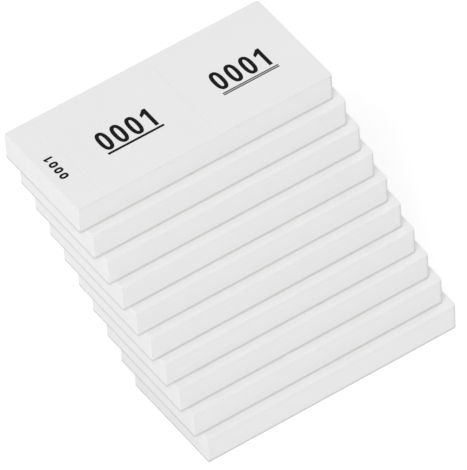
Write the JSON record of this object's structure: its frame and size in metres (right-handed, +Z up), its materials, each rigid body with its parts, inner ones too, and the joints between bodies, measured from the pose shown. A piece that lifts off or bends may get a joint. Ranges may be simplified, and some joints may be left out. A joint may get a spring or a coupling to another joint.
{
  "type": "numbered ticket pad",
  "caption": "Stepped stack of plain white numbered ticket pads: perforated sheets glued at the stub end over backing boards; tickets fold up along their perforations and pads lift off.",
  "frame": {"origin": "middle of the bottom of the stack's bounding box, in the plane of the surface it rests on", "axes": "+X from the glued stub end to the free end, +Y from the front long side to the back, +Z up"},
  "size_m": [0.13, 0.0778, 0.1152],
  "materials": {
    "paper": "matte uncoated white paper",
    "board": "matte light grey chipboard",
    "glue": "dried white padding glue",
    "ink": "matte black printed ink"
  },
  "bodies": {
    "pad_10": {"pad_10_backing_board": "board", "pad_10_sheet_block": "paper", "pad_10_glue_binding": "glue", "pad_10_top_sheet": "paper", "pad_10_top_sheet_numbers": "ink"},
    "pad_09": {"pad_09_backing_board": "board", "pad_09_sheet_block": "paper", "pad_09_glue_binding": "glue", "pad_09_top_sheet": "paper", "pad_09_top_sheet_numbers": "ink"},
    "pad_08": {"pad_08_backing_board": "board", "pad_08_sheet_block": "paper", "pad_08_glue_binding": "glue", "pad_08_top_sheet": "paper", "pad_08_top_sheet_numbers": "ink"},
    "pad_07": {"pad_07_backing_board": "board", "pad_07_sheet_block": "paper", "pad_07_glue_binding": "glue", "pad_07_top_sheet": "paper", "pad_07_top_sheet_numbers": "ink"},
    "pad_06": {"pad_06_backing_board": "board", "pad_06_sheet_block": "paper", "pad_06_glue_binding": "glue", "pad_06_top_sheet": "paper", "pad_06_top_sheet_numbers": "ink"},
    "pad_05": {"pad_05_backing_board": "board", "pad_05_sheet_block": "paper", "pad_05_glue_binding": "glue", "pad_05_top_sheet": "paper", "pad_05_top_sheet_numbers": "ink"},
    "pad_04": {"pad_04_backing_board": "board", "pad_04_sheet_block": "paper", "pad_04_glue_binding": "glue", "pad_04_top_sheet": "paper", "pad_04_top_sheet_numbers": "ink"},
    "pad_03": {"pad_03_backing_board": "board", "pad_03_sheet_block": "paper", "pad_03_glue_binding": "glue", "pad_03_top_sheet": "paper", "pad_03_top_sheet_numbers": "ink"},
    "pad_02": {"pad_02_backing_board": "board", "pad_02_sheet_block": "paper", "pad_02_glue_binding": "glue", "pad_02_top_sheet": "paper", "pad_02_top_sheet_numbers": "ink"},
    "pad_01": {"pad_01_backing_board": "board", "pad_01_sheet_block": "paper", "pad_01_glue_binding": "glue", "pad_01_third_sheet": "paper", "pad_01_third_sheet_numbers": "ink", "pad_01_second_stub": "paper", "pad_01_second_stub_number": "ink", "pad_01_top_stub": "paper", "pad_01_top_stub_number": "ink"},
    "second_tickets": {"pad_01_second_tickets": "paper", "pad_01_second_ticket_numbers": "ink"},
    "middle_ticket": {"pad_01_middle_ticket": "paper", "pad_01_middle_ticket_number": "ink"},
    "end_ticket": {"pad_01_end_ticket": "paper", "pad_01_end_ticket_number": "ink"}
  },
  "joints": [
    {"name": "pad_09_lift", "type": "slide", "parent": "pad_10", "child": "pad_09", "axis": [0, 0, 1], "range_m": [0, 0.03]},
    {"name": "pad_08_lift", "type": "slide", "parent": "pad_09", "child": "pad_08", "axis": [0, 0, 1], "range_m": [0, 0.03]},
    {"name": "pad_07_lift", "type": "slide", "parent": "pad_08", "child": "pad_07", "axis": [0, 0, 1], "range_m": [0, 0.03]},
    {"name": "pad_06_lift", "type": "slide", "parent": "pad_07", "child": "pad_06", "axis": [0, 0, 1], "range_m": [0, 0.03]},
    {"name": "pad_05_lift", "type": "slide", "parent": "pad_06", "child": "pad_05", "axis": [0, 0, 1], "range_m": [0, 0.03]},
    {"name": "pad_04_lift", "type": "slide", "parent": "pad_05", "child": "pad_04", "axis": [0, 0, 1], "range_m": [0, 0.03]},
    {"name": "pad_03_lift", "type": "slide", "parent": "pad_04", "child": "pad_03", "axis": [0, 0, 1], "range_m": [0, 0.03]},
    {"name": "pad_02_lift", "type": "slide", "parent": "pad_03", "child": "pad_02", "axis": [0, 0, 1], "range_m": [0, 0.03]},
    {"name": "pad_01_lift", "type": "slide", "parent": "pad_02", "child": "pad_01", "axis": [0, 0, 1], "range_m": [0, 0.03]},
    {"name": "second_tickets_fold", "type": "hinge", "parent": "pad_01", "child": "second_tickets", "pos_m": [-0.0541, 0.01642, 0.11522], "axis": [0, -1, 0], "range_deg": [0, 50]},
    {"name": "middle_ticket_fold", "type": "hinge", "parent": "second_tickets", "child": "middle_ticket", "pos_m": [-0.0541, 0.01642, 0.11522], "axis": [0, -1, 0], "range_deg": [0, 120]},
    {"name": "end_ticket_fold", "type": "hinge", "parent": "middle_ticket", "child": "end_ticket", "pos_m": [-0.00692, 0.01642, 0.11522], "axis": [0, -1, 0], "range_deg": [0, 135]}
  ]
}
